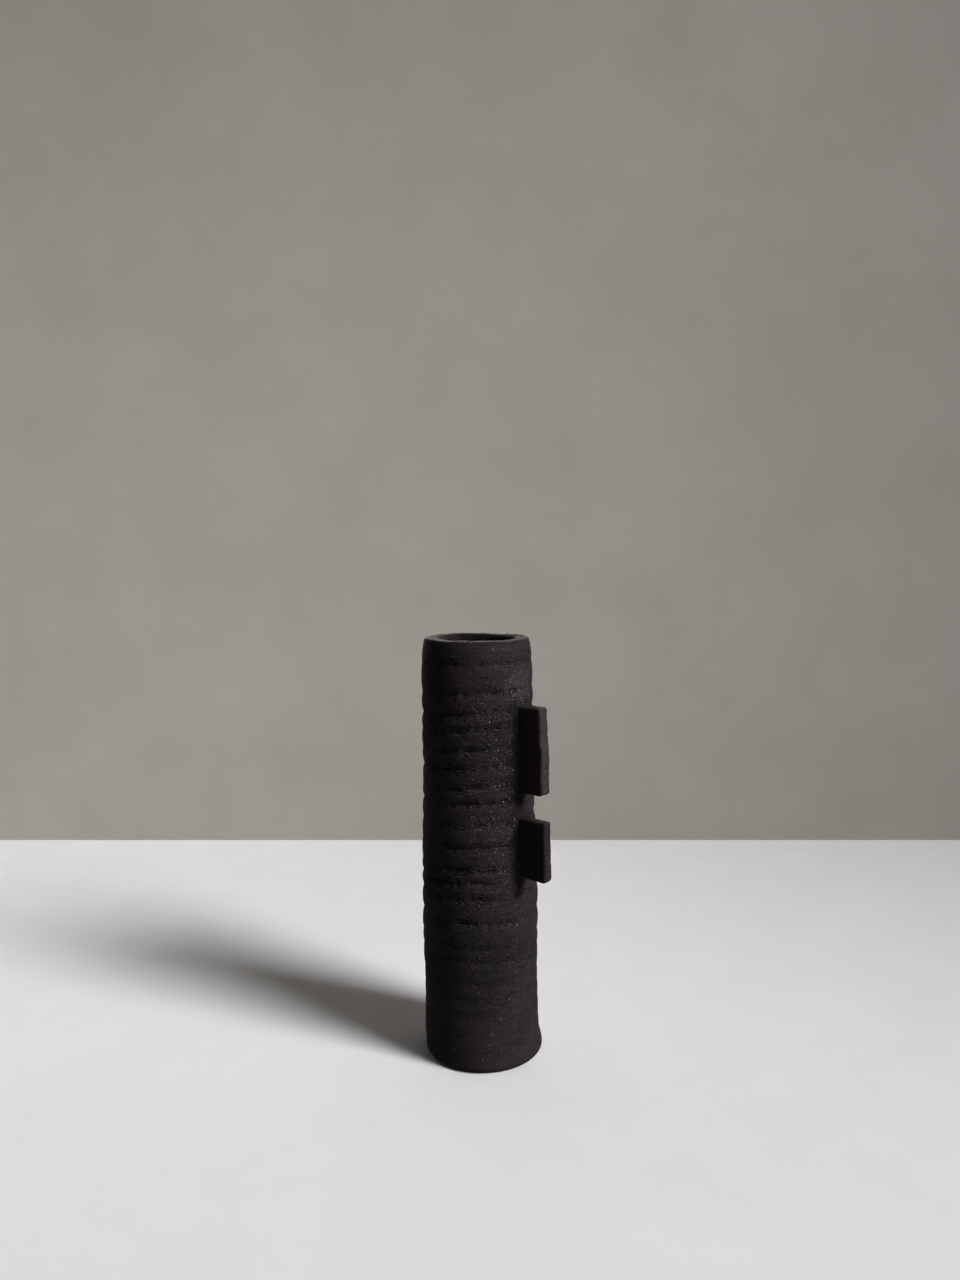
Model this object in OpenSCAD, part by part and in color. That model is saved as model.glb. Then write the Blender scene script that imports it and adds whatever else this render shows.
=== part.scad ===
// Coil-built stoneware vase with two slab fins, one above the other, on its side.
// Millimetres, +Z up. The origin is the centre of the foot slab's flat underside,
// and the fins stand out along +X.

/* [Body] */
// Height from the table to the top of the rim
height = 280; // [220:5:360]
// Radius of the wall at its fullest, low on the body
belly_r = 38.8; // [30:0.2:60]
// How far the foot slab stands out past the belly
foot_flare = 0.8; // [0:0.1:4]
// How far the wall draws in just above the foot
waist_in = 1; // [0:0.1:4]
// How far the wall draws in above the lower fin
neck_in = 2.5; // [0:0.1:6]
// How far the wall draws in at the rim
rim_in = 2.6; // [0:0.1:6]
// Thickness of the wall
wall_t = 10; // [6:0.5:14]
// Thickness of the foot slab
slab_t = 9; // [6:0.5:16]
// Rounding of the foot slab's lower edge
slab_edge_r = 4; // [1:0.5:6]

/* [Coils] */
// How far the face of a coil bulges past its seams
coil_bulge = 0.8; // [0.2:0.1:2]
// Rounding of the two edges of the rim
lip_r = 2.5; // [0.5:0.5:3]
// How far the outside of the rim coil draws in towards its top
rim_draw = 1.6; // [0.4:0.1:3]

/* [Lean] */
// Sideways place of the wall's foot on the slab, along X
wall_shift_x = -0.9; // [-2:0.1:2]
// Sideways place of the wall's foot on the slab, along Y
wall_shift_y = -0.8; // [-2:0.1:2]
// How far the wall leans by the time it reaches the rim, along X
lean_x = -3; // [-8:0.5:8]
// How far the wall leans by the time it reaches the rim, along Y
lean_y = -2.8; // [-8:0.5:8]

/* [Fins] */
// Distance from the top of the upper fin up to the rim
fin_drop = 41.5; // [20:0.5:60]
// Gap between the two fins
fin_gap = 16; // [6:0.5:40]
// Height of the upper fin
upper_fin_h = 56; // [30:1:70]
// Thickness of the upper fin
upper_fin_t = 9; // [5:0.5:14]
// How far the upper fin stands out at its top
upper_fin_reach = 17; // [10:0.5:40]
// How much further the upper fin stands out at its bottom
upper_fin_splay = 2.8; // [0:0.1:6]
// Turn of the upper fin round the body from straight above the lower one
upper_fin_turn = 3; // [-10:1:10]
// Height of the lower fin
lower_fin_h = 39; // [20:1:60]
// Thickness of the lower fin
lower_fin_t = 7; // [5:0.5:14]
// How far the lower fin stands out at its top
lower_fin_reach = 21.5; // [10:0.5:40]
// How much further the lower fin stands out at its bottom
lower_fin_splay = 0.9; // [0:0.1:6]
// Rounding of a fin's outer corner at its top
fin_top_r = 2; // [0.5:0.5:5]
// Rounding of a fin's outer corner at its bottom
fin_bottom_r = 3.5; // [0.5:0.5:5]
// How far the collar of soft clay round a fin's root spreads over the wall
collar_w = 2.5; // [1:0.5:5]
// How far that collar stands off the wall
collar_t = 1.5; // [0.5:0.5:4]
// How deep the fins and their collars are let into the wall
let_in = 2.5; // [2:0.5:4]

/* [Hidden] */
// Relative heights of the coils from the bottom up: no two were rolled alike
coil_share = [22, 22, 16, 17, 24, 14, 24, 25, 16, 13, 23,
              22, 21, 16, 21, 17, 20, 15, 20, 28, 23];
last = len(coil_share) - 1;

clay = [0.1, 0.09, 0.088];
round_fn = 120;

upper_fin_z = height - fin_drop - upper_fin_h;
lower_fin_z = upper_fin_z - fin_gap - lower_fin_h;

// The wall's outer radius at shares of the height, from the foot to the rim
wall_profile = [[0, belly_r], [0.19, belly_r - waist_in], [0.35, belly_r],
                [0.61, belly_r - neck_in * 0.85], [0.82, belly_r - neck_in], [1, belly_r - rim_in]];

function coil_name(i) = i == last ? "rim_coil" : str("coil_", i < 9 ? "0" : "", i + 1);
function total(v, n) = n == 0 ? 0 : v[n - 1] + total(v, n - 1);

// Height of the seam under coil i, on a tenth of a millimetre; seam_z(last + 1) is the rim's top
function seam_z(i) =
    slab_t + round(10 * (height - slab_t) * total(coil_share, i) / total(coil_share, last + 1)) / 10;
function coil_h(i) = seam_z(i + 1) - seam_z(i);

// Outer radius and centre line of the wall at height z
function wall_r(z) = lookup(z / height, wall_profile);
function wall_x(z) = wall_shift_x + lean_x * z / height;
function wall_y(z) = wall_shift_y + lean_y * z / height;

// Radius of the arc that rises by rise over a straight run
function arc_r(run, rise) = (run * run + rise * rise) / (2 * rise);

// Cross-section of a coil, with its round outer face and straight joints
module coil_section(r, h) {
    face_r = arc_r(h / 2, coil_bulge);
    intersection() {
        translate([r - wall_t, 0]) square([wall_t + coil_bulge, h]);
        translate([r + coil_bulge / 2 - face_r, h / 2]) circle(face_r, $fn = 4 * round_fn);
    }
}

// Cross-section of the rim coil, drawn in towards a rounded lip
module rim_section(r, h) {
    lip = min(lip_r, wall_t / 2);
    face_r = arc_r(h, rim_draw);
    intersection() {
        translate([r - wall_t, 0]) union() {
            square([wall_t, h - lip]);
            translate([lip, 0]) square([wall_t - 2 * lip, h]);
            for (x = [lip, wall_t - lip]) translate([x, h - lip]) circle(lip, $fn = round_fn);
        }
        translate([r - face_r, 0]) circle(face_r, $fn = 4 * round_fn);
    }
}

// Coil i of the wall, lying on the one below, with pockets for what is let into it
module coil(i) {
    z = seam_z(i);
    h = coil_h(i);
    r = wall_r(z + h / 2);
    color(clay)
        difference() {
            translate([wall_x(z + h / 2), wall_y(z + h / 2), z])
                rotate_extrude($fn = round_fn)
                    if (i == last) rim_section(r, h);
                    else coil_section(r, h);
            if (meets_pad(z, z + h, upper_fin_z, upper_fin_h))
                fin_pad(upper_fin_z, upper_fin_h, upper_fin_t, upper_fin_turn);
            if (meets_pad(z, z + h, lower_fin_z, lower_fin_h))
                fin_pad(lower_fin_z, lower_fin_h, lower_fin_t, 0);
        }
}

module foot_slab() {
    r = belly_r + foot_flare;
    edge = min(slab_edge_r, slab_t);
    color(clay)
        rotate_extrude($fn = round_fn)
            union() {
                square([r - edge, slab_t]);
                translate([0, edge]) square([r, slab_t - edge]);
                translate([r - edge, edge])
                    intersection() {
                        circle(edge, $fn = round_fn);
                        translate([0, -edge]) square(edge);
                    }
            }
}

// Side outline of a fin from its root outwards: x is the distance past the wall's face, y the
// height, and the outer edge splays out towards the bottom
module fin_outline(h, reach, splay) {
    low = [reach + splay - fin_bottom_r, fin_bottom_r];
    high = [reach - fin_top_r, h - fin_top_r];
    edge = high - low;
    facing = atan2(edge.y, edge.x) - acos((fin_bottom_r - fin_top_r) / norm(edge));
    out = [cos(facing), sin(facing)];
    polygon([[-let_in, 0], [low.x, 0], low, low + fin_bottom_r * out,
             high + fin_top_r * out, high, [high.x, h], [-let_in, h]]);
    translate(low) circle(fin_bottom_r, $fn = round_fn);
    translate(high) circle(fin_top_r, $fn = round_fn);
}

// Outline of a fin's collar as seen from outside: the fin's own root grown by collar_w
module collar_outline(h, t) {
    translate([-t / 2 - collar_w, 0]) square([t + 2 * collar_w, h]);
    translate([-t / 2, -collar_w]) square([t, h + 2 * collar_w]);
    for (x = [-t / 2, t / 2], y = [0, h]) translate([x, y]) circle(collar_w, $fn = round_fn);
}

// Moves a shape drawn with x out from the wall's face and y up to a fin's place on the wall
module on_wall(z, h, turn)
    translate([wall_x(z + h / 2), wall_y(z + h / 2), 0])
        rotate([0, 0, turn])
            translate([wall_r(z + h / 2), 0, z])
                rotate([90, 0, 0]) children();

// Carries an outline seen from outside from the bottom of the pockets to the collar's face
module through_wall(z, h, turn)
    on_wall(z, h, turn)
        rotate([0, 90, 0])
            translate([0, 0, -let_in])
                linear_extrude(let_in + collar_t) children();

// What the wall gives way to round a fin's root, and the bands of the wall where it does
module fin_pad(z, h, t, turn)
    through_wall(z, h, turn) collar_outline(h, t);
function meets_pad(low, high, z, h) = high > z - collar_w && low < z + h + collar_w;

module fin(z, h, t, reach, splay, turn)
    color(clay)
        on_wall(z, h, turn)
            translate([0, 0, -t / 2]) linear_extrude(t) fin_outline(h, reach, splay);

// The clay pressed round a fin's root
module fin_collar(z, h, t, turn)
    color(clay)
        through_wall(z, h, turn)
            difference() {
                collar_outline(h, t);
                translate([-t / 2, 0]) square([t, h]);
            }

module upper_fin()
    fin(upper_fin_z, upper_fin_h, upper_fin_t, upper_fin_reach, upper_fin_splay, upper_fin_turn);
module upper_fin_collar()
    fin_collar(upper_fin_z, upper_fin_h, upper_fin_t, upper_fin_turn);
module lower_fin()
    fin(lower_fin_z, lower_fin_h, lower_fin_t, lower_fin_reach, lower_fin_splay, 0);
module lower_fin_collar()
    fin_collar(lower_fin_z, lower_fin_h, lower_fin_t, 0);

foot_slab();
for (i = [0 : last]) coil(i);
upper_fin();
upper_fin_collar();
lower_fin();
lower_fin_collar();
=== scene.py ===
"""A coil-built vase of black stoneware with two slab fins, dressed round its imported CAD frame.

Sizes inside the classes are millimetres in the frame's own axes; meshes are written in metres.
"""

import logging
import math
from bisect import bisect_right
from dataclasses import dataclass, field, replace
from enum import Enum, IntEnum
from functools import lru_cache
from typing import Any, Iterable

import bmesh
import bpy
from mathutils import Matrix, Vector, noise


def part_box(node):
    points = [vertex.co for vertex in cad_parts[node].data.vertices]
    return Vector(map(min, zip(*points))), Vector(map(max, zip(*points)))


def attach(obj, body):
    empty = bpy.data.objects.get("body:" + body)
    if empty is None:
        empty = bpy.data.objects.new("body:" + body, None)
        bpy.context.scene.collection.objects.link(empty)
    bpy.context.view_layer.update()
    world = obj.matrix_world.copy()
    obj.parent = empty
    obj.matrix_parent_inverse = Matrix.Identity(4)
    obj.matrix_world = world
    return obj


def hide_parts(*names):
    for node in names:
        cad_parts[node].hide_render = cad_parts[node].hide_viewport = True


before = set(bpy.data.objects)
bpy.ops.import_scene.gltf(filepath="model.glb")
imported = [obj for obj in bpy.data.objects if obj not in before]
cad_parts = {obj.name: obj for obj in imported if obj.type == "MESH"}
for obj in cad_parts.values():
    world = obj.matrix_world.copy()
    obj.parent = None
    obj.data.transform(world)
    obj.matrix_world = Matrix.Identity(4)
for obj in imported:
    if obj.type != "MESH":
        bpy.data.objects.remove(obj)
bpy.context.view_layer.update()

log = logging.getLogger("vase")

MM = 0.001
ROOT_BODY = "root"
# Mesh attribute holding each point's tear share and the inner face's painted shade.
TORN_AND_SHADE = "torn"
COARSE = "coarse"
CORNER_ANGLE = 0.9
TINY = 1e-6

Point = tuple[float, float, float]
Colour = tuple[float, float, float]


# ---------------------------------------------------------------- small helpers


def clamp01(value: float) -> float:
    """Returns value held between 0 and 1."""
    return min(1.0, max(0.0, value))


def smooth(low: float, high: float, value: float) -> float:
    """Rises smoothly from 0 to 1.

    Args:
        low: where the rise starts.
        high: where it ends; below low, the rise runs backwards.
        value: where it is read.

    Returns:
        A number from 0 to 1.
    """
    t = clamp01((value - low) / (high - low))
    return t * t * (3.0 - 2.0 * t)


def mix(a: float, b: float, t: float) -> float:
    """Returns a at t 0, b at t 1, and a straight line between."""
    return a + (b - a) * t


class Curve:
    """A curve through a few knots, eased between them and level past either end."""

    def __init__(self, knots: Iterable[tuple[float, float]]) -> None:
        """Keeps (place, value) knots, given in rising order of place."""
        pairs = list(knots)
        self.places = [place for place, _ in pairs]
        self.values = [value for _, value in pairs]

    def __call__(self, at: float) -> float:
        """Reads the curve.

        Args:
            at: the place.

        Returns:
            The value there, eased between the knots on either side.
        """
        i = bisect_right(self.places, at)
        if i == 0:
            return self.values[0]
        if i == len(self.places):
            return self.values[-1]
        low = self.places[i - 1]
        t = (at - low) / (self.places[i] - low)
        return mix(self.values[i - 1], self.values[i], t * t * (3.0 - 2.0 * t))


def centre_of(node: str) -> Vector:
    """Returns the middle of a CAD node's box, in millimetres."""
    low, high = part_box(node)
    return (low + high) / (2.0 * MM)


def size_of(node: str) -> Vector:
    """Returns the size of a CAD node's box, in millimetres."""
    low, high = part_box(node)
    return (high - low) / MM


def turn_section(section: list[tuple[float, float]], steps: int, closed: bool) -> bmesh.types.BMesh:
    """Turns a section round the Z axis, by drawing a circle on from point to point.

    Args:
        section: the section's points, each a radius and a height.
        steps: how many sides the circle has.
        closed: whether the last point joins the first, as on a tube; if not, both ends are capped.

    Returns:
        A new bmesh in millimetres. Edges at a corner of the section are marked sharp.
    """
    shape = bmesh.new()
    start_r, start_z = section[0]
    bmesh.ops.create_circle(shape, segments=steps, radius=start_r, cap_ends=not closed, cap_tris=True)
    bmesh.ops.translate(shape, vec=(0.0, 0.0, start_z), verts=shape.verts)
    first = ring = [edge for edge in shape.edges if len(edge.link_faces) < 2]
    for (r0, _), (r1, z1) in zip(section, section[1:]):
        made = bmesh.ops.extrude_edge_only(shape, edges=ring)["geom"]
        verts = {part for part in made if isinstance(part, bmesh.types.BMVert)}
        edges = [part for part in made if isinstance(part, bmesh.types.BMEdge)]
        ring = [edge for edge in edges if verts.issuperset(edge.verts)]
        for vert in verts:
            vert.co = (vert.co.x * r1 / r0, vert.co.y * r1 / r0, z1)
    if closed:
        bmesh.ops.bridge_loops(shape, edges=first + ring)
    else:
        bmesh.ops.contextual_create(shape, geom=ring)
        bmesh.ops.poke(shape, faces=[face for face in shape.faces if len(face.verts) > 4])
    bmesh.ops.recalc_face_normals(shape, faces=shape.faces)
    for edge in shape.edges:
        edge.smooth = edge.calc_face_angle(0.0) < CORNER_ANGLE
    return shape


def write_mesh(name: str, shape: bmesh.types.BMesh) -> bpy.types.Object:
    """Turns a finished bmesh in millimetres into an object at the origin, in metres.

    Args:
        name: the piece's name.
        shape: the bmesh, which is freed.

    Returns:
        The new object, smooth shaded and linked to the scene.
    """
    bmesh.ops.scale(shape, vec=Vector((MM, MM, MM)), verts=shape.verts)
    mesh = bpy.data.meshes.new(name)
    shape.to_mesh(mesh)
    shape.free()
    mesh.polygons.foreach_set("use_smooth", [True] * len(mesh.polygons))
    piece = bpy.data.objects.new(name, mesh)
    bpy.context.collection.objects.link(piece)
    return piece


# ---------------------------------------------------------------- shader maths


class Value:
    """A number socket of a shader, on which Python's operators add Math nodes."""

    def __init__(self, tree: "ShaderTree", socket: bpy.types.NodeSocket) -> None:
        """Wraps socket, which belongs to tree."""
        self.tree = tree
        self.socket = socket

    def _math(self, operation: str, first: Any, second: Any, clamp: bool = False) -> "Value":
        """Adds one Math node and returns its result."""
        return self.tree.add("ShaderNodeMath", {"operation": operation, "use_clamp": clamp},
                             {0: first, 1: second}).value()

    def __add__(self, other: Any) -> "Value":
        """self + other."""
        return self._math("ADD", self, other)

    __radd__ = __add__

    def __mul__(self, other: Any) -> "Value":
        """self * other."""
        return self._math("MULTIPLY", self, other)

    __rmul__ = __mul__

    def __sub__(self, other: Any) -> "Value":
        """self - other."""
        return self._math("SUBTRACT", self, other)

    def __rsub__(self, other: Any) -> "Value":
        """other - self."""
        return self._math("SUBTRACT", other, self)

    def step(self, low: float, high: float) -> "Value":
        """Rises smoothly from 0 at low to 1 at high, or falls where high is below low."""
        if high < low:
            return 1.0 - self.step(high, low)
        settings = {"interpolation_type": "SMOOTHSTEP"}
        return self.tree.add("ShaderNodeMapRange", settings, {0: self, 1: low, 2: high}).value()


class Made:
    """A node just added to a shader tree, with its outputs by name."""

    def __init__(self, tree: "ShaderTree", node: bpy.types.Node) -> None:
        """Keeps node and the tree that it is in."""
        self.tree = tree
        self.node = node

    def out(self, name: str | int = 0) -> bpy.types.NodeSocket:
        """Returns an output socket, by name or place."""
        return self.node.outputs[name]

    def value(self, name: str | int = 0) -> Value:
        """Returns an output as a Value, for maths."""
        return Value(self.tree, self.node.outputs[name])


class ShaderTree:
    """The node tree of one material."""

    def __init__(self, name: str) -> None:
        """Starts an empty material called name."""
        self.material = bpy.data.materials.new(name)
        self.material.use_nodes = True
        self.nodes = self.material.node_tree.nodes
        self.links = self.material.node_tree.links
        self.nodes.clear()

    def add(self, kind: str, settings: dict[str, Any] | None = None,
            inputs: dict[str | int, Any] | None = None) -> Made:
        """Adds a node.

        Args:
            kind: the node's type.
            settings: its properties, set before its sockets.
            inputs: values or links for its sockets, by name or place.

        Returns:
            The node, wrapped.
        """
        node = self.nodes.new(kind)
        for key, value in (settings or {}).items():
            setattr(node, key, value)
        for key, value in (inputs or {}).items():
            self.feed(node.inputs[key], value)
        return Made(self, node)

    def feed(self, socket: bpy.types.NodeSocket, value: Any) -> None:
        """Links value to socket where it is a socket, and sets it there where it is constant.

        Args:
            socket: the input to fill.
            value: a Value, an output socket, a colour, or a plain setting.
        """
        if isinstance(value, Value):
            self.links.new(value.socket, socket)
        elif isinstance(value, bpy.types.NodeSocket):
            self.links.new(value, socket)
        elif isinstance(value, tuple) and len(value) == 3 and socket.type == "RGBA":
            socket.default_value = (*value, 1.0)
        else:
            socket.default_value = value

    def place(self) -> bpy.types.NodeSocket:
        """Returns the surface point in millimetres, in the object's own axes."""
        spot = self.add("ShaderNodeTexCoord").out("Object")
        return self.stretched(spot, (1.0 / MM, 1.0 / MM, 1.0 / MM))

    def stretched(self, vector: bpy.types.NodeSocket, by: Point,
                  shift: Point = (0.0, 0.0, 0.0)) -> bpy.types.NodeSocket:
        """Returns vector multiplied by by, axis by axis, plus shift."""
        settings = {"operation": "MULTIPLY_ADD"}
        return self.add("ShaderNodeVectorMath", settings, {0: vector, 1: by, 2: shift}).out()

    def noise(self, at: bpy.types.NodeSocket, detail: float = 2.0, roughness: float = 0.5) -> Value:
        """Returns fractal noise from 0 to 1, one swell to a unit of at."""
        inputs = {"Vector": at, "Scale": 1.0, "Detail": detail, "Roughness": roughness}
        return self.add("ShaderNodeTexNoise", {"normalize": True}, inputs).value(0)

    def cells(self, at: bpy.types.NodeSocket) -> tuple[Value, Value]:
        """Returns grains one to a unit of at: the distance to the nearest, and its own random number."""
        made = self.add("ShaderNodeTexVoronoi", {"feature": "F1"}, {"Vector": at, "Scale": 1.0})
        lot = self.add("ShaderNodeSeparateColor", {}, {0: made.out("Color")}).value(0)
        return made.value("Distance"), lot

    def distance(self, first: bpy.types.NodeSocket, second: Point) -> Value:
        """Returns the distance between two points."""
        settings = {"operation": "DISTANCE"}
        return self.add("ShaderNodeVectorMath", settings, {0: first, 1: second}).value("Value")

    def tint(self, factor: Any, first: Any, second: Any) -> bpy.types.NodeSocket:
        """Returns colour first where factor is 0 and second where it is 1."""
        settings = {"data_type": "RGBA", "clamp_factor": True}
        return self.add("ShaderNodeMix", settings, {0: factor, 6: first, 7: second}).out(2)

    def bump(self, height: Value, depth_mm: float, normal: Any = None) -> bpy.types.NodeSocket:
        """Returns a normal bent by a height from 0 to 1 that stands depth_mm tall."""
        inputs: dict[str | int, Any] = {"Strength": 1.0, "Distance": depth_mm * MM, "Height": height}
        if normal is not None:
            inputs["Normal"] = normal
        return self.add("ShaderNodeBump", {}, inputs).out()


@dataclass(frozen=True)
class Stoneware:
    """Unglazed, groggy stoneware that fires near black."""

    name: str
    dark: Colour = (0.0288, 0.0238, 0.0266)
    warm: Colour = (0.0445, 0.0336, 0.0362)
    # Lighter tint: dust, with painted highlight on the raised grain.
    dust_and_highlight: Colour = (0.134, 0.110, 0.114)
    # Near-black painted shade for pits, tears, streaks, comb lines and grain hollows.
    recess_shade: Colour = (0.0030, 0.0025, 0.0026)
    grog: Colour = (0.62, 0.56, 0.49)
    streaks: float = 1.0
    grog_share: float = 0.02
    # Centres of a band and a patch of painted glints, where grog specks crowd and the clay is lighter;
    # the share sets how strong.
    glint_band_at: Point = (29.0, -25.0, 78.0)
    glint_patch_at: Point = (38.3, -1.5, 251.0)
    glint_share: float = 0.19
    grain_mm: float = 0.16
    coarse_mm: float = 0.75
    roughness: float = 0.80

    def material(self) -> bpy.types.Material:
        """Builds the finish: mottled body; dragged streaks, tears, open pits, grain hollows and the
        inner face darkened with painted shade; grain lightened by dust and painted highlight; and grog,
        crowded into two patches of painted glints.
        """
        tree = ShaderTree(self.name)
        at = tree.place()
        tears_and_inner_shade = tree.add("ShaderNodeAttribute", {"attribute_name": TORN_AND_SHADE}).value("Fac")
        coarse = tree.add("ShaderNodeAttribute", {"attribute_name": COARSE}).value("Fac")
        mottle = tree.noise(tree.stretched(at, (0.025, 0.025, 0.02)), 3.0, 0.55)
        patches = tree.noise(tree.stretched(at, (0.07, 0.07, 0.11), (31.0, 7.0, 3.0)), 3.0, 0.6)
        drag = tree.noise(tree.stretched(at, (0.14, 0.14, 1.3), (3.0, 11.0, 5.0)), 5.0, 0.7)
        grain = tree.noise(tree.stretched(at, (0.62, 0.62, 0.85)), 4.0, 0.78)
        fine = tree.noise(tree.stretched(at, (3.4, 3.4, 3.8)), 3.0, 0.65)
        comb = tree.noise(tree.stretched(at, (0.05, 0.05, 1.7), (6.0, 3.0, 21.0)), 4.0, 0.72)
        streak = drag.step(0.53, 0.65) * patches.step(0.34, 0.60) * self.streaks
        lines = comb.step(0.50, 0.62) * self.streaks
        near, lot = tree.cells(tree.stretched(at, (0.62, 0.62, 0.95)))
        pits = near.step(0.42, 0.18) * (lot + coarse * 0.30).step(0.84, 0.90)
        grog_near, grog_lot = tree.cells(tree.stretched(at, (1.05, 1.05, 1.05), (9.0, 2.0, 4.0)))
        cluster = tree.noise(tree.stretched(at, (0.09, 0.09, 0.05), (2.0, 17.0, 8.0)), 2.0, 0.5)
        # Painted glints and highlight: specks crowd in a band and a patch where the light catches the
        # wall; grog specks elsewhere are the clay's own.
        glint_band = tree.distance(tree.stretched(at, (1.0, 1.0, 0.42)), self.glint_band_at).step(30.0, 6.0)
        glint_patch = tree.distance(at, self.glint_patch_at).step(19.0, 5.0)
        share = cluster.step(0.38, 0.70) * (self.grog_share + glint_band * self.glint_share) + 0.003
        share = share + glint_patch * self.glint_share
        speck = grog_near.step(0.32, 0.16) * (grog_lot + share - 1.0).step(0.0, 0.01)
        sand_near, sand_lot = tree.cells(tree.stretched(at, (1.9, 1.9, 1.9), (5.0, 1.0, 7.0)))
        sand = sand_near.step(0.34, 0.20) * (sand_lot + share * 0.7 - 0.98).step(0.0, 0.02) * 0.55

        colour = tree.tint(mottle.step(0.38, 0.64), self.dark, self.warm)
        # Dust and painted highlight on the raised grain, stronger where the clay is coarse; the glint
        # patch adds painted highlight.
        dust_and_highlight_mask = grain.step(0.48, 0.66) * (0.22 + coarse * 0.62) + fine.step(0.55, 0.8) * 0.2
        colour = tree.tint(dust_and_highlight_mask + glint_patch * self.glint_share, colour, self.dust_and_highlight)
        # Painted shade: streaks, comb lines, tears and the inner face go towards the near-black recess
        # colour.
        colour = tree.tint(streak * 0.6 + lines * 0.30 + tears_and_inner_shade * 0.78, colour, self.recess_shade)
        # Painted shade in open pits and in the grain's hollows where the clay is coarse.
        colour = tree.tint(pits * 0.9 + grain.step(0.46, 0.34) * coarse * 0.8, colour, self.recess_shade)
        # Grog specks, the clay's own, plus the crowded painted glints of the two patches.
        colour = tree.tint(speck + sand, colour, self.grog)
        marks = fine * 0.6 + grain * 0.7 - streak * 0.6 - lines * 0.5 - pits + speck * 0.7
        fine_bump = tree.bump(marks, self.grain_mm)
        normal = tree.bump(grain * coarse, self.coarse_mm, fine_bump)
        roughness = self.roughness + (fine - 0.5) * 0.2 - speck * 0.5
        shader = tree.add("ShaderNodeBsdfPrincipled", {}, {
            "Base Color": colour, "Roughness": roughness, "Normal": normal,
            "Specular IOR Level": 0.18})
        tree.add("ShaderNodeOutputMaterial", {}, {"Surface": shader.out()})
        return tree.material


@dataclass(frozen=True)
class Plaster:
    """A plain matte surface for the studio, with a faint trowelled mottle."""

    name: str
    light: Colour
    shade: Colour
    swell_mm: float

    def material(self) -> bpy.types.Material:
        """Builds the finish."""
        tree = ShaderTree(self.name)
        scale = 1.0 / self.swell_mm
        cloud = tree.noise(tree.stretched(tree.place(), (scale, scale, scale)), 4.0, 0.55)
        colour = tree.tint(cloud.step(0.3, 0.7), self.light, self.shade)
        shader = tree.add("ShaderNodeBsdfPrincipled", {}, {"Base Color": colour, "Roughness": 0.9})
        tree.add("ShaderNodeOutputMaterial", {}, {"Surface": shader.out()})
        return tree.material


# ---------------------------------------------------------------- the wall's shape


class Pattern(IntEnum):
    """Which noise a mark reads. A pattern that each seam has for itself adds the seam's number."""

    WOBBLE = 1
    PATCH = 2
    TEAR = 3
    CRUMB = 4
    FINGER = 5
    SKIN = 6
    COLLAR = 7
    SEAM_WAVE = 11
    SEAM_RIPPLE = 43
    FOOT_EDGE = 80
    LIP = 90
    LIP_RIPPLE = 91
    BURR = 93
    SEAM_OPEN = 110
    SEAM_GAP = 140


@dataclass
class HandMarks:
    """How the potter's hands and rib left the wall, in millimetres; a run is the length of one swell."""

    inset: float = 0.3
    wobble: float = 0.45
    wobble_run: float = 42.0
    valley: float = 1.15
    valley_half: float = 2.7
    crown: float = 0.35
    finger_ridge: float = 0.8
    seam_wave: float = 1.3
    seam_wave_run: float = 15.0
    groove: float = 0.30
    groove_half: float = 0.8
    tear: float = 0.75
    tear_run: float = 2.6
    tear_tall: float = 0.75
    tear_band: float = 4.0
    patch_run: float = 11.0
    patch_tall: float = 8.0
    crumb: float = 0.45
    crumb_run: float = 1.0
    open_run: float = 15.0
    gap_run: float = 4.5
    finger: float = 0.5
    finger_run: float = 11.0
    finger_tall: float = 4.0
    skin: float = 0.16
    skin_run: float = 1.6


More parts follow.
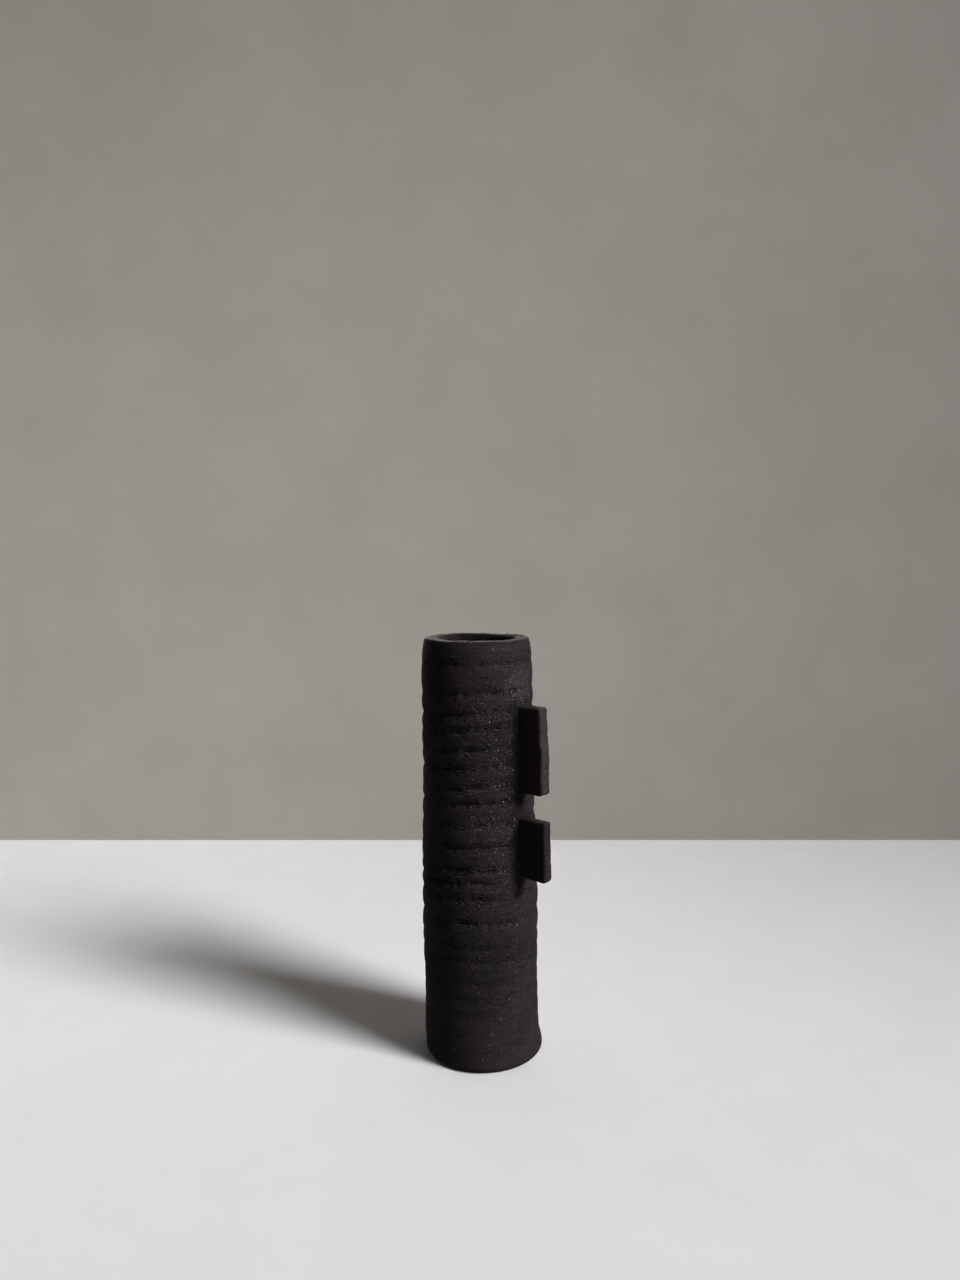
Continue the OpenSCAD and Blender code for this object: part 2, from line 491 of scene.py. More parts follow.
@dataclass(eq=False)
class CoilWall:
    """The whole wall: its centre line, radius, seams and every mark on its two faces."""

    coils: list[str]
    foot: str
    wall_t: float = 10.0
    marks: HandMarks = field(default_factory=HandMarks)
    slant_towards: float = math.radians(43.0)
    slant: Curve = field(default_factory=lambda: Curve([
        (0.0, 0.0), (0.35, 0.2), (0.55, 1.6), (0.72, 3.4), (0.84, 2.6), (0.94, 0.9), (1.0, 0.0)]))
    tornness: Curve = field(default_factory=lambda: Curve([
        (0.0, 0.08), (0.08, 0.14), (0.17, 0.36), (0.27, 0.6), (0.38, 1.0), (0.86, 1.0), (0.93, 0.75),
        (1.0, 0.15)]))

    def __post_init__(self) -> None:
        """Reads the frame: where each seam lies, and the wall's radius and centre at each coil."""
        self.seams = [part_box(name)[0].z / MM for name in self.coils]
        self.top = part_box(self.coils[-1])[1].z / MM
        self.seams.append(self.top)
        stack = [self.foot] + self.coils
        middles = [centre_of(name) for name in stack]
        heights = [middle.z for middle in middles]
        radii = [size_of(name).y / 2.0 for name in stack]
        lefts = [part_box(name)[0].x / MM for name in stack]
        self.foot_r = radii[0]
        self.radius = Curve((z, r - self.marks.inset) for z, r in zip(heights, radii))
        self.centre_x = Curve((z, left + r) for z, left, r in zip(heights, lefts, radii))
        self.centre_y = Curve((middle.z, middle.y) for middle in middles)

    def mark(self, angle: float, z: float, along: float, tall: float, seed: float) -> float:
        """Returns noise that runs round the wall without a join.

        Args:
            angle: where round the wall.
            z: height on it.
            along: length of a swell round the wall.
            tall: height of a swell.
            seed: which pattern.

        Returns:
            A number from about -1 to 1.
        """
        turn = self.foot_r / along
        return noise.noise((turn * math.cos(angle) + seed * 7.3, turn * math.sin(angle) - seed * 3.1,
                            z / tall + seed * 5.7))

    @lru_cache(maxsize=None)
    def seam(self, index: int, angle: float) -> float:
        """Follows a seam round the wall.

        Args:
            index: the coil above it; one past the last coil is the rim.
            angle: where round the wall.

        Returns:
            Its height there.
        """
        z = self.seams[index]
        if index == 0:
            return z
        share = z / self.top
        m = self.marks
        calm = 0.35 if index == len(self.seams) - 1 else mix(0.5, 1.0, self.tornness(share))
        wave = self.mark(angle, 0.0, m.seam_wave_run, 1.0, Pattern.SEAM_WAVE + index) * m.seam_wave
        ripple = self.mark(angle, 0.0, m.seam_wave_run / 4.0, 1.0, Pattern.SEAM_RIPPLE + index)
        wave += ripple * m.seam_wave * 0.4
        return z + wave * calm + self.slant(share) * math.cos(angle - self.slant_towards)

    @lru_cache(maxsize=None)
    def openness(self, index: int, angle: float) -> float:
        """Says how open a seam is.

        Args:
            index: the coil above it.
            angle: where round the wall.

        Returns:
            A number from 0, smoothed over, to 1, torn open.
        """
        if index >= len(self.coils):
            return 0.0
        long = self.mark(angle, 0.0, self.marks.open_run, 1.0, Pattern.SEAM_OPEN + index)
        short = self.mark(angle, 0.0, self.marks.gap_run, 1.0, Pattern.SEAM_GAP + index)
        return clamp01(0.5 + 1.1 * long + 0.5 * short) * self.tornness(self.seams[index] / self.top)

    def outside(self, angle: float, z: float, index: int, t: float,
                reach: float) -> tuple[float, float, float]:
        """Returns the outer face's radius, and the clay's state there.

        Args:
            angle: where round the wall.
            z: height there.
            index: the coil, or -1 for the foot slab.
            t: share of the coil's height, 0 at its lower seam.
            reach: the coil's height in millimetres.

        Returns:
            The distance from the wall's centre line, then a torn share and a coarse share, from 0 to 1.
        """
        m = self.marks
        rough = self.tornness(z / self.top)
        wobble = self.mark(angle, z, m.wobble_run, m.wobble_run * 0.7, Pattern.WOBBLE)
        r = self.radius(z) + wobble * m.wobble
        valley = cut = band = 0.0
        for seam, gap in ((index, t * reach), (index + 1, (1.0 - t) * reach)):
            if seam >= 0:
                opened = self.openness(seam, angle)
                valley += opened * math.exp(-(gap / m.valley_half) ** 2)
                cut += max(0.0, opened - 0.35) * math.exp(-(gap / m.groove_half) ** 2)
                band += (0.35 * rough + 0.65 * opened) * math.exp(-(gap / m.tear_band) ** 2)
        band = min(1.0, band)
        r += math.sin(math.pi * t) * m.crown * rough - valley * m.valley
        patch = smooth(-0.3, 0.35, self.mark(angle, z, m.patch_run, m.patch_tall, Pattern.PATCH))
        tear = smooth(0.04, 0.36, self.mark(angle, z, m.tear_run, m.tear_tall, Pattern.TEAR))
        torn = tear * mix(0.10 * rough, 1.0, band) * mix(0.4, 1.0, patch)
        coarse = mix(0.35, 1.0, band) * mix(0.4, 1.0, patch) * mix(0.15, 1.0, rough)
        r -= cut * m.groove + torn * m.tear
        r += self.mark(angle, z, m.crumb_run, m.crumb_run, Pattern.CRUMB) * m.crumb * coarse
        return r, clamp01(torn + cut * 0.5), coarse

    def inside(self, angle: float, z: float, t: float) -> float:
        """Returns the inner face's radius, finger-ridged along the coils."""
        m = self.marks
        r = self.radius(z) - self.wall_t - math.sin(math.pi * t) * m.finger_ridge
        r += self.mark(angle, z, m.finger_run, m.finger_tall, Pattern.FINGER) * m.finger
        return r + self.mark(angle, z, m.skin_run, m.skin_run, Pattern.SKIN) * m.skin


class Slot(Enum):
    """The record's material slots."""

    COIL = "coil_clay"
    SLAB = "slab_clay"
    JOINT = "joint_clay"


@dataclass
class ClayPiece:
    """What every piece of the vase has: the wall it belongs to, its CAD node, its clay and its slot."""

    wall: CoilWall
    node: str
    clay: bpy.types.Material
    slot: Slot

    def dress(self, shape: bmesh.types.BMesh) -> bpy.types.Object:
        """Finishes the piece and hands it to the frame.

        Args:
            shape: its bmesh in millimetres, which is freed.

        Returns:
            The piece, in its clay, riding on the vase and standing for its CAD node.
        """
        piece = write_mesh(self.node + "_clay", shape)
        piece.data.materials.append(self.clay)
        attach(piece, ROOT_BODY)
        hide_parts(self.node)
        return piece


@dataclass
class Coil(ClayPiece):
    """One coil of the wall: a ring whose joints follow the wavy seams above and below it."""

    index: int
    steps: int = 600
    row: float = 0.42
    lip: float = 0.75
    rim_draw: float = 1.7
    # How dark the painted shade on the inner face is, and where round the wall it is least: the side the
    # light reaches.
    painted_inside_shade: float = 1.0
    lit_inside_at: float = math.radians(223.0)
    inner_coarse: float = 0.3
    plain_inner: float = 30.0
    plain_outer: float = 39.0
    burr: float = 0.6
    burr_at: float = math.radians(95.0)

    @property
    def is_rim(self) -> bool:
        """Whether this is the topmost coil."""
        return self.index == len(self.wall.coils) - 1

    def section(self, inner: float, outer: float, height: float) -> list[tuple[float, float]]:
        """Draws the section of the plain ring.

        Args:
            inner: its inner radius.
            outer: its outer radius.
            height: its height.

        Returns:
            Points of radius and height, from the lower outer corner round to the lower inner one.
        """
        rows = max(4, round(height / self.row))
        across = 13 if self.is_rim else 1
        out = [(outer, height * i / rows) for i in range(rows + 1)]
        top = [(mix(outer, inner, i / across), height) for i in range(1, across)]
        within = [(inner, height * (1.0 - i / (rows // 3))) for i in range(rows // 3 + 1)]
        return out + top + within

    def build(self) -> bpy.types.Object:
        """Turns the plain ring, then presses every mark of the wall into it."""
        wall = self.wall
        inner, outer = self.plain_inner, self.plain_outer
        height = wall.seams[self.index + 1] - wall.seams[self.index]
        shape = turn_section(self.section(inner, outer, height), self.steps, True)
        if self.is_rim:
            for edge in shape.edges:
                edge.smooth = edge.smooth or edge.verts[0].co.z > height / 2.0
        layers = [shape.verts.layers.float.new(name) for name in (TORN_AND_SHADE, COARSE)]
        for vert in shape.verts:
            x, y, z = vert.co
            angle = round(math.atan2(y, x), 5)
            across = clamp01((math.hypot(x, y) - inner) / (outer - inner))
            vert.co, state = self.press(angle, across, clamp01(z / height), height)
            for layer, share in zip(layers, state):
                vert[layer] = share
        return self.dress(shape)

    def press(self, angle: float, across: float, t: float,
              height: float) -> tuple[Point, tuple[float, float]]:
        """Returns where a point of the plain ring goes on the real wall, and the clay's state there.

        Args:
            angle: the point's place round the ring.
            across: 0 at the inner face, 1 at the outer.
            t: 0 at the lower joint, 1 at the upper.
            height: the plain ring's height.

        Returns:
            The point in millimetres, its torn share, which also carries the inner face's painted shade,
            and its coarse share.
        """
        wall = self.wall
        z = mix(wall.seam(self.index, angle), wall.seam(self.index + 1, angle), t)
        out, torn, coarse = 0.0, 0.0, self.inner_coarse
        if across > 0.0:
            out, torn, coarse = wall.outside(angle, z, self.index, t, height)
        into = wall.inside(angle, z, t) if across < 1.0 else 0.0
        if self.is_rim:
            inset, lift = self.round_lip(angle, (1.0 - t) * height, across)
            out -= self.rim_draw * t * t + inset
            into += inset * 1.5
            z += lift
        r = mix(into, out, across)
        x, y = wall.centre_x(z), wall.centre_y(z)
        # Painted shade on the inner face: dark all round, least on the side that the light reaches
        # inside the mouth.
        away_from_lit_inside = 1.0 - 0.85 * smooth(0.25, 0.85, math.cos(angle - self.lit_inside_at))
        shade = self.painted_inside_shade * away_from_lit_inside * smooth(0.4, 0.0, across)
        return (x + r * math.cos(angle), y + r * math.sin(angle), z), (max(torn * across, shade), coarse)

    def round_lip(self, angle: float, below: float, across: float) -> tuple[float, float]:
        """Rounds the rim and roughens its face.

        Args:
            angle: where round the rim.
            below: distance under its top.
            across: 0 at the inner face, 1 at the outer.

        Returns:
            How far the rim's edges draw in there, and how far its face lifts.
        """
        mark = self.wall.mark
        lip = self.lip * (1.0 + 0.4 * mark(angle, 0.0, 11.0, 1.0, Pattern.LIP))
        inset = lip - math.sqrt(max(0.0, lip * lip - (lip - below) ** 2)) if below < lip else 0.0
        if below > 0.001:
            return inset, 0.0
        crown = 4.0 * across * (1.0 - across)
        burr = smooth(0.1, 0.6, mark(angle, across * 6.0, 3.2, 2.4, Pattern.BURR)) * (0.3 + 0.7 * across)
        ripple = 0.3 * mark(angle, across * 9.0, 2.4, 2.4, Pattern.LIP_RIPPLE) * crown
        lifted = burr * self.burr * smooth(0.2, 0.9, math.cos(angle - self.burr_at))
        return inset, 0.25 * crown + ripple + lifted


@dataclass
class FootSlab(ClayPiece):
    """The disc under the wall, its lower edge rounded over by a thumb."""

    steps: int = 600
    edge: float = 4.2
    edge_run: float = 25.0
    row: float = 0.6
    rings: int = 20

    def build(self) -> bpy.types.Object:
        """Turns the slab, rounds its lower edge and presses the wall's marks into its side."""
        height, radius = self.wall.seams[0], self.wall.foot_r
        rows, rings = round(height / self.row), self.rings
        below = [(radius * i / rings, 0.0) for i in range(1, rings)]
        side = [(radius, height * i / rows) for i in range(rows + 1)]
        above = [(radius * (1.0 - i / rings), height) for i in range(1, rings)]
        shape = turn_section(below + side + above, self.steps, False)
        for edge in shape.edges:
            edge.smooth = edge.smooth or edge.verts[0].co.z < height / 2.0
        for vert in shape.verts:
            x, y, z = vert.co
            vert.co = self.press(math.atan2(y, x), math.hypot(x, y) / radius, z, height)
        return self.dress(shape)

    def press(self, angle: float, across: float, z: float, height: float) -> Point:
        """Returns where a point of the plain disc goes.

        Args:
            angle: where round the disc.
            across: the point's share of the radius.
            z: its height.
            height: the disc's height.

        Returns:
            The point in millimetres.
        """
        wall = self.wall
        out = wall.outside(angle, z, -1, z / height, height)[0]
        edge = self.edge * (1.0 + 0.15 * wall.mark(angle, 0.0, self.edge_run, 1.0, Pattern.FOOT_EDGE))
        if z < edge:
            out -= edge - math.sqrt(max(0.0, edge * edge - (edge - z) ** 2))
        r = out * across
        return (wall.centre_x(z) + r * math.cos(angle), wall.centre_y(z) + r * math.sin(angle), z)


@dataclass
class Fin(ClayPiece):
    """A slab of clay standing edge-on out of the wall, its corners softened by hand."""

    thickness: float
    turn: float
    splay: float
    top_corner: float
    bottom_corner: float
    seed: float
    dimples: tuple[Point, ...] = ()
    edge: float = 1.7
    grid: float = 0.45
    root_depth: float = 2.5
    sway: float = 0.75
    swell_run: float = 13.0
    ripple_run: float = 3.5
    dent: float = 0.22
    crumb: float = 0.14
    crumb_run: float = 1.3

    def __post_init__(self) -> None:
        """Reads the fin's place from the frame."""
        low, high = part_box(self.node)
        self.low, self.high = low.z / MM, high.z / MM
        middle = (self.low + self.high) / 2.0
        self.pivot = Vector((self.wall.centre_x(middle), self.wall.centre_y(middle), 0.0))
        self.face = self.wall.radius(middle)
        corner = Vector((high.x / MM, high.y / MM, 0.0)) - self.pivot
        self.reach = corner.x * math.cos(self.turn) + corner.y * math.sin(self.turn)

    def build(self) -> bpy.types.Object:
        """Cuts the slab, softens it and stands it on the wall."""
        length, tall = self.reach - self.face + self.root_depth, self.high - self.low
        shape = bmesh.new()
        size = Vector((length, self.thickness, tall))
        bmesh.ops.create_cube(shape, size=1.0)
        bmesh.ops.scale(shape, vec=size, verts=shape.verts)
        for axis in range(3):
            self.slice(shape, axis, size[axis])
        for vert in shape.verts:
            vert.co = self.press(vert.co, size)
        bmesh.ops.recalc_face_normals(shape, faces=shape.faces)
        return self.dress(shape)

    def slice(self, shape: bmesh.types.BMesh, axis: int, span: float) -> None:
        """Cuts the block into even slices.

        Args:
            shape: the block.
            axis: 0, 1 or 2, the axis cut across.
            span: the block's length on it.
        """
        count = max(2, round(span / self.grid))
        normal = Vector([1.0 if i == axis else 0.0 for i in range(3)])
        for i in range(1, count):
            geom = shape.verts[:] + shape.edges[:] + shape.faces[:]
            bmesh.ops.bisect_plane(shape, geom=geom, plane_co=normal * (span * (i / count - 0.5)),
                                   plane_no=normal)

    def press(self, spot: Vector, size: Vector) -> Vector:
        """Moves a point of the plain block to its place on the softened, leaning fin.

        Args:
            spot: the point.
            size: the block's size.

        Returns:
            The point in millimetres, in the frame.
        """
        half = size / 2.0
        corner = self.top_corner if spot.z > 0.0 else self.bottom_corner
        x, z = self.round_corner(spot.x, spot.z, half, corner)
        x, y, z = self.soften(x, spot.y, z, half, corner)
        out = clamp01((x + half.x) / size.x)
        x, y = self.lean(x, y, z, size, out)
        x, y, z = self.roughen(x, y, z, out)
        placed = Vector((self.face - self.root_depth + half.x + x, y, 0.0))
        placed = Matrix.Rotation(self.turn, 3, "Z") @ placed + self.pivot
        placed.z = (self.low + self.high) / 2.0 + z
        return placed

    def round_corner(self, x: float, z: float, half: Vector, corner: float) -> tuple[float, float]:
        """Bends the outline's square outer corners round.

        Args:
            x: distance out from the block's middle.
            z: distance up from it.
            half: half the block's size.
            corner: the corner's radius.

        Returns:
            The new x and z.
        """
        if x > half.x - corner and abs(z) > half.z - corner:
            away = Vector((x - (half.x - corner), abs(z) - (half.z - corner)))
            square = max(away)
            if away.length > TINY:
                away *= square / away.length
            x = half.x - corner + away.x
            z = math.copysign(half.z - corner + away.y, z)
        return x, z

    def lean(self, x: float, y: float, z: float, size: Vector, out: float) -> tuple[float, float]:
        """Splays, sways and dimples the fin.

        Args:
            x: distance out from the block's middle.
            y: distance across its thickness.
            z: distance up from its middle.
            size: the block's size.
            out: share of the way from the wall to the outer edge.

        Returns:
            The new x and y.
        """
        down = clamp01(0.5 - z / size.z)
        x -= self.splay * (1.0 - down) * out
        long_swell = noise.noise(Vector((self.seed, z / self.swell_run, 0.0)))
        short_swell = noise.noise(Vector((z / self.ripple_run, self.seed, 4.0)))
        x += (long_swell + 0.35 * short_swell) * self.sway * out
        y *= 1.0 + 0.12 * noise.noise(Vector((x / 12.0, z / 14.0, self.seed * 3.0)))
        bend = noise.noise(Vector((x / 16.0, self.seed * 2.0, z / 15.0)))
        y += bend * self.sway * 0.8 * smooth(0.1, 0.5, out)
        for share, side, wide in self.dimples:
            gap = math.hypot(y - side, (down - share) * size.z) / wide
            x -= wide * math.exp(-gap * gap) * smooth(0.7, 1.0, out)
        return x, y

    def roughen(self, x: float, y: float, z: float, out: float) -> Point:
        """Gives the fin soft dents and a crumbly skin.

        Args:
            x: distance out.
            y: distance across.
            z: distance up.
            out: share of the way from the wall to the outer edge, where the dents also push out.

        Returns:
            The new point.
        """
        side = math.copysign(1.0, y)
        dents = noise.noise(Vector((x / 5.0, y / 3.0 + self.seed, z / 4.0)))
        y += dents * self.dent * side
        x += dents * self.dent * smooth(0.5, 1.0, out)
        crumb = Vector((x, y, z)) / self.crumb_run + Vector((self.seed, 0.0, 0.0))
        y += noise.noise(crumb) * self.crumb * side
        x += noise.noise(crumb + Vector((9.0, 4.0, 1.0))) * self.crumb
        z += noise.noise(crumb + Vector((2.0, 8.0, 5.0))) * self.crumb
        return x, y, z

    def soften(self, x: float, y: float, z: float, half: Vector, corner: float) -> Point:
        """Rounds the slab's long edges, all round its outline.

        Args:
            x: distance out.
            y: distance across.
            z: distance up.
            half: half the block's size.
            corner: the radius of the outline's corner.

        Returns:
            The new point.
        """
        rim_x, rim_z = half.x - x, half.z - abs(z)
        if x > half.x - corner and abs(z) > half.z - corner:
            away = math.hypot(x - (half.x - corner), abs(z) - (half.z - corner))
            inside = corner - away
        else:
            inside = min(rim_x, rim_z)
        side = half.y - abs(y)
        edge = self.edge
        if side < edge and inside < edge:
            u, v = (edge - side) / edge, (edge - inside) / edge
            reach = math.hypot(u, v)
            pull = max(u, v) / reach if reach > TINY else 1.0
            y = math.copysign(half.y - edge + edge * u * pull, y)
            shrink = edge - edge * v * pull - inside
            if x > half.x - corner and abs(z) > half.z - corner:
                away = Vector((x - (half.x - corner), abs(z) - (half.z - corner)))
                if away.length > TINY:
                    away *= max(0.0, away.length - shrink) / away.length
                x = half.x - corner + away.x
                z = math.copysign(half.z - corner + away.y, z)
            elif rim_x < rim_z:
                x -= shrink
            else:
                z = math.copysign(abs(z) - shrink, z)
        return x, y, z


@dataclass
class Collar(ClayPiece):
    """Soft clay pressed round a fin's root and thumbed out over the wall."""

    fin: Fin
    spread: float = 4.5
    stand: float = 2.2
    smear: float = 3.5
    grid: float = 0.6
    back: float = 2.0

    def build(self) -> bpy.types.Object:
        """Lays a patch over the fin's root, shapes it and closes it against the wall."""
        fin = self.fin
        wide = fin.thickness + 2.0 * (self.spread + self.smear)
        tall = fin.high - fin.low + 2.0 * (self.spread + self.smear)
        shape = bmesh.new()
        bmesh.ops.create_grid(shape, x_segments=round(wide / self.grid),
                              y_segments=round(tall / self.grid), size=0.5)
        front = shape.faces[:]
        grown = bmesh.ops.extrude_face_region(shape, geom=front)["geom"]
        back = {g for g in grown if isinstance(g, bmesh.types.BMVert)}
        for vert in shape.verts:
            vert.co = self.press(vert.co.x * wide, vert.co.y * tall, vert in back)
        bmesh.ops.recalc_face_normals(shape, faces=shape.faces)
        return self.dress(shape)

    def press(self, side: float, up: float, is_back: bool) -> Vector:
        """Returns where a point of the patch goes.

        Args:
            side: distance from the fin's mid plane.
            up: distance above the fin's middle.
            is_back: whether the point is on the patch's hidden back.

        Returns:
            The point in millimetres.
        """
        fin, wall = self.fin, self.wall
        middle = (fin.low + fin.high) / 2.0
        z = middle + up
        gap_side = max(0.0, abs(side) - fin.thickness / 2.0 + 0.3)
        gap_up = max(0.0, abs(up) - (fin.high - fin.low) / 2.0 + 0.3)
        gap = math.hypot(gap_side, gap_up)
        ragged = 0.5 + noise.noise(Vector((side / 5.0, up / 5.0, fin.seed)))
        spread = self.spread + self.smear * clamp01(ragged) * (1.0 if up > 0.0 else 0.6)
        t = clamp01(gap / spread)
        stand = self.stand * (1.0 - t) ** 2.2 - 0.35 * smooth(0.8, 1.0, t)
        bearing = fin.turn + side / fin.face
        if is_back:
            stand = -self.back
        r = wall.radius(z) + stand + wall.mark(bearing, z, 3.0, 2.0, Pattern.COLLAR) * 0.25 * (1.0 - t)
        x, y = wall.centre_x(z), wall.centre_y(z)
        return Vector((x + r * math.cos(bearing), y + r * math.sin(bearing), z))


# ---------------------------------------------------------------- studio


class LightUse(Enum):
    """What a studio light is for."""

    DAY = "daylight"
    WINDOW = "window"
    BACK = "back"


@dataclass(frozen=True)
class StudioLight:
    """A soft light. Its bearing is in degrees to the camera's right, seen from the vase."""

    use: LightUse
    bearing: float
    elevation: float
    strength: float
    distance: float = 3.0
    width: float = 1.0
    height: float = 1.35
    spread: float = 180.0
    blur: float = 22.0

    def data(self) -> bpy.types.Light:
        """Returns the lamp itself: even daylight, or a rectangle of light."""
        if self.use is LightUse.DAY:
            data = bpy.data.lights.new(self.use.value, "SUN")
            data.angle = math.radians(self.blur)
        else:
            data = bpy.data.lights.new(self.use.value, "AREA")
            data.shape, data.size, data.size_y = "RECTANGLE", self.width, self.height
            data.spread = math.radians(self.spread)
        data.energy = self.strength
        return data

    def build(self, azimuth: float, aim: Vector, lit: bpy.types.Collection | None = None) -> None:
        """Hangs the light.

        Args:
            azimuth: the camera's own azimuth.
            aim: the point that the light faces, in metres.
            lit: the only things that it lights, or None for everything.
        """
        lamp = bpy.data.objects.new(self.use.value, self.data())
        bpy.context.collection.objects.link(lamp)
        turn, rise = math.radians(azimuth + self.bearing), math.radians(self.elevation)
        level = math.cos(rise)
        spot = Vector((math.sin(turn) * level, -math.cos(turn) * level, math.sin(rise))) * self.distance
        lamp.location = spot
        lamp.rotation_mode = "QUATERNION"
        lamp.rotation_quaternion = (spot - aim).to_track_quat("Z", "Y")
        if lit:
            lamp.light_linking.receiver_collection = lit
            lamp.light_linking.blocker_collection = lit


@dataclass
class Studio:
    """A pale floor, a plain backdrop, soft light and the camera."""

    azimuth: float = 43.0
    pitch: float = 5.03
    camera_height: float = 331.7
    camera_distance: float = 607.9
    camera_shift: float = -2.85
    lens: float = 26.0
    backdrop_distance: float = 461.0
    sheet_half: float = 3000.0
    window_aim: Point = (-0.42, -0.04, 0.10)
    glow: float = 0.08
    sky: float = 0.55

    def build(self, pieces: list[bpy.types.Object]) -> None:
        """Sets up everything round the vase, which is made of pieces."""
        self.camera()
        self.ground()
        self.lights(pieces)
        self.world()

    def towards(self) -> tuple[Vector, Vector]:
        """Returns the level directions from the vase to the camera, and to the camera's right."""
        a = math.radians(self.azimuth)
        return Vector((math.sin(a), -math.cos(a), 0.0)), Vector((math.cos(a), math.sin(a), 0.0))

    def camera(self) -> None:
        """Places the camera at the vase's viewing angle."""
        near, right = self.towards()
        data = bpy.data.cameras.new("camera")
        data.lens, data.sensor_width, data.sensor_fit = self.lens, 36.0, "AUTO"
        data.clip_start, data.clip_end = 0.01, 50.0
        eye = bpy.data.objects.new("camera", data)
        bpy.context.collection.objects.link(eye)
        spot = near * self.camera_distance + right * self.camera_shift
        spot.z = self.camera_height
        eye.location = spot * MM
        pitch = math.radians(self.pitch)
        look = -near * math.cos(pitch) - Vector((0, 0, math.sin(pitch)))
        eye.rotation_mode = "QUATERNION"
        eye.rotation_quaternion = look.to_track_quat("-Z", "Y")
        bpy.context.scene.camera = eye

    def ground(self) -> None:
        """Lays the floor and stands the backdrop behind the vase."""
        near, right = self.towards()
        pale = Plaster("floor_plaster", (0.79, 0.79, 0.795), (0.775, 0.775, 0.78), 60.0)
        warm = Plaster("wall_plaster", (0.635, 0.595, 0.55), (0.60, 0.56, 0.515), 130.0)
        floor = self.sheet("floor", pale, Vector(), right, near)
        back = self.sheet("backdrop", warm, -near * self.backdrop_distance, right, Vector((0, 0, 1)))
        floor.visible_diffuse = False

    def sheet(self, name: str, finish: Plaster, centre: Vector, across: Vector,
              up: Vector) -> bpy.types.Object:
        """Makes one large flat square of the studio.

        Args:
            name: its name.
            finish: its plaster.
            centre: its middle, in millimetres.
            across: its first direction.
            up: its second direction.

        Returns:
            The sheet.
        """
        shape = bmesh.new()
        bmesh.ops.create_grid(shape, x_segments=1, y_segments=1, size=self.sheet_half)
        for vert in shape.verts:
            vert.co = centre + across * vert.co.x + up * vert.co.y
        piece = write_mesh(name, shape)
        piece.data.materials.append(finish.material())
        return piece

    def lights(self, pieces: list[bpy.types.Object]) -> None:
        """Hangs daylight and a window on one side, and a soft light behind.

        Args:
            pieces: what the light behind falls on; it lights nothing else.
        """
        near, right = self.towards()
        across, closer, up = self.window_aim
        pool = right * across + near * closer + Vector((0, 0, up))
        StudioLight(LightUse.DAY, 58.0, 36.0, 2.3).build(self.azimuth, Vector())
        StudioLight(LightUse.WINDOW, 58.0, 36.0, 4.6, spread=36.0).build(self.azimuth, pool)
        vase = bpy.data.collections.new("vase_only")
        for piece in pieces:
            vase.objects.link(piece)
        StudioLight(LightUse.BACK, -168.0, 34.0, 30.0, 1.6, 0.8, 1.2).build(self.azimuth, Vector(), vase)

    def world(self) -> None:
        """Sets a pale surround that the camera sees and that gives little light itself."""
        world = bpy.data.worlds.new("studio")
        world.use_nodes = True
        nodes, links = world.node_tree.nodes, world.node_tree.links
        path, share = nodes.new("ShaderNodeLightPath"), nodes.new("ShaderNodeMapRange")
        share.inputs["To Min"].default_value = self.glow
        share.inputs["To Max"].default_value = self.sky
        links.new(path.outputs["Is Camera Ray"], share.inputs["Value"])
        links.new(share.outputs["Result"], nodes["Background"].inputs["Strength"])
        nodes["Background"].inputs["Color"].default_value = (0.96, 0.96, 0.95, 1.0)
        bpy.context.scene.world = world


# ---------------------------------------------------------------- the vase


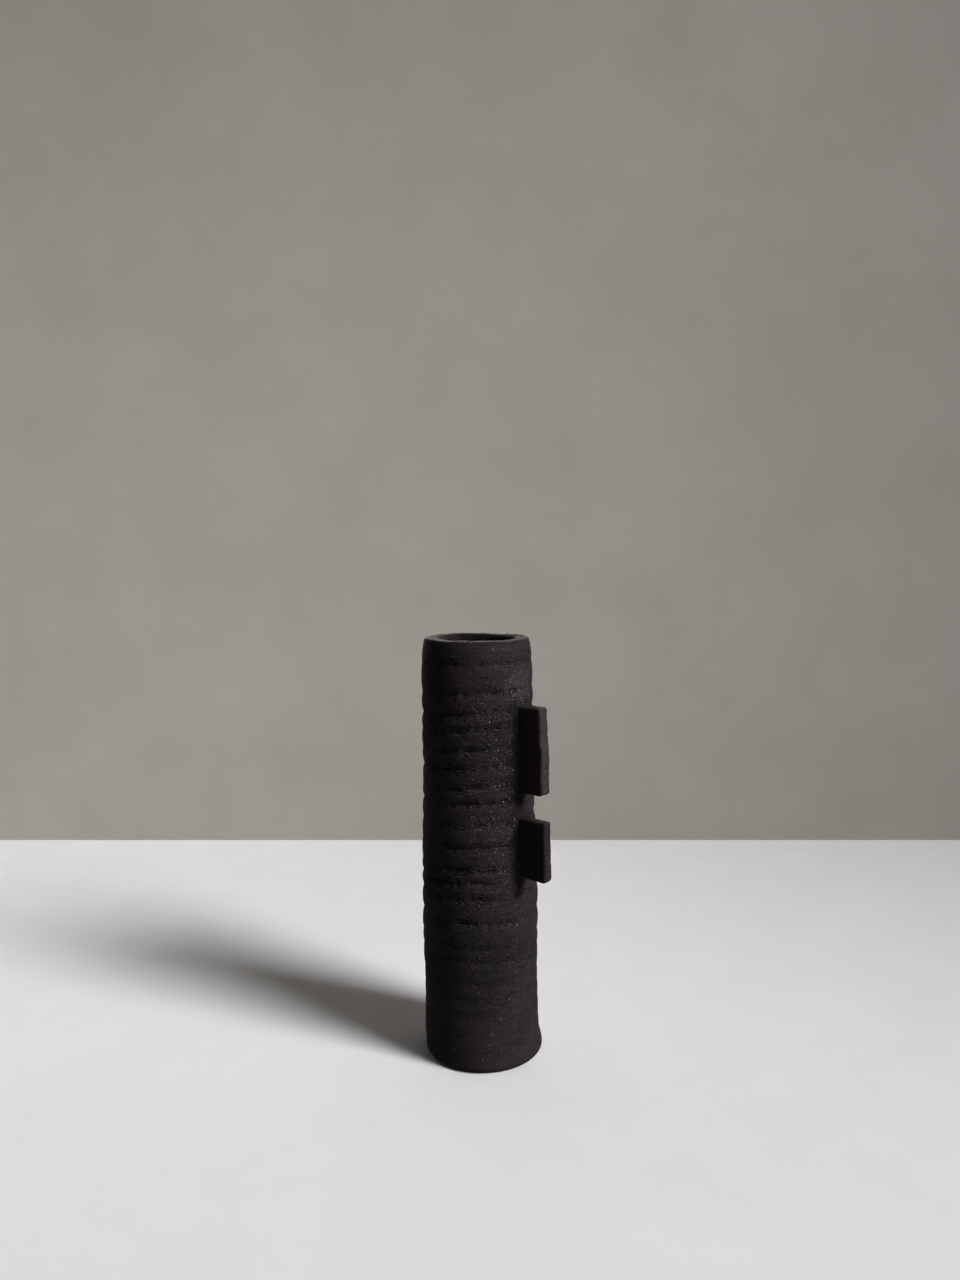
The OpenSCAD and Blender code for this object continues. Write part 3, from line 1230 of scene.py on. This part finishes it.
@dataclass
class Vase:
    """The whole vase, built from its foot up."""

    foot: str = "foot_slab"
    upper_turn: float = math.radians(3.0)

    def build(self) -> list[bpy.types.Object]:
        """Builds the wall, then the fins and the clay that holds them, and returns every piece."""
        names = sorted(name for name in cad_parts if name.startswith("coil_")) + ["rim_coil"]
        wall = CoilWall(names, self.foot)
        return self.build_wall(wall) + self.build_fins(wall)

    def build_wall(self, wall: CoilWall) -> list[bpy.types.Object]:
        """Lays the foot slab and every coil on it.

        Args:
            wall: the wall's shape.

        Returns:
            The slab and the coils, from the foot up.
        """
        coil_clay = Stoneware("coil_clay").material()
        slab_clay = Stoneware("slab_clay", streaks=0.35, glint_share=0.0).material()
        foot = FootSlab(wall, self.foot, slab_clay, Slot.SLAB).build()
        coils = [Coil(wall, name, coil_clay, Slot.COIL, i).build() for i, name in enumerate(wall.coils)]
        return [foot] + coils

    def build_fins(self, wall: CoilWall) -> list[bpy.types.Object]:
        """Stands both fins on the wall, each with its collar.

        Args:
            wall: the wall they stand on.

        Returns:
            The two fins and the two collars.
        """
        plain = Stoneware("fin_clay", (0.0400, 0.0320, 0.0334), (0.0575, 0.0437, 0.0452),
                          streaks=0.2, grog_share=0.01, glint_share=0.0, grain_mm=0.10)
        lower_clay = replace(plain, name="lower_fin_clay", dark=(0.0240, 0.0194, 0.0204),
                             warm=(0.0340, 0.0262, 0.0276)).material()
        # Joint clay darker than the body: partly its own colour, partly painted shade on the wall beside
        # the fins.
        joint_clay = Stoneware("joint_clay", (0.0150, 0.0122, 0.0132), (0.0215, 0.0168, 0.0182),
                               (0.070, 0.057, 0.060), streaks=0.2, grain_mm=0.13).material()
        upper = Fin(wall, "upper_fin", plain.material(), Slot.SLAB, thickness=9.0, turn=self.upper_turn,
                    splay=2.8, top_corner=2.0, bottom_corner=3.5, seed=3.7,
                    dimples=((0.70, 0.4, 0.9), (0.14, 2.6, 0.7)))
        lower = Fin(wall, "lower_fin", lower_clay, Slot.SLAB, thickness=7.0, turn=0.0,
                    splay=0.9, top_corner=2.0, bottom_corner=3.5, seed=8.2, dimples=((0.45, -1.8, 0.9),))
        pieces = []
        for fin in (upper, lower):
            collar = Collar(wall, fin.node + "_collar", joint_clay, Slot.JOINT, fin)
            pieces += [fin.build(), collar.build()]
        return pieces


def main() -> None:
    """Builds the studio and the vase."""
    logging.basicConfig(level=logging.INFO, format="%(name)s: %(message)s")
    bpy.context.scene.view_settings.view_transform = "Standard"
    bpy.context.scene.view_settings.gamma = 0.8
    pieces = Vase().build()
    for piece in pieces:
        log.info("%s: %d faces", piece.name, len(piece.data.polygons))
    Studio().build(pieces)
    bpy.context.view_layer.update()


if __name__ == "__main__":
    main()
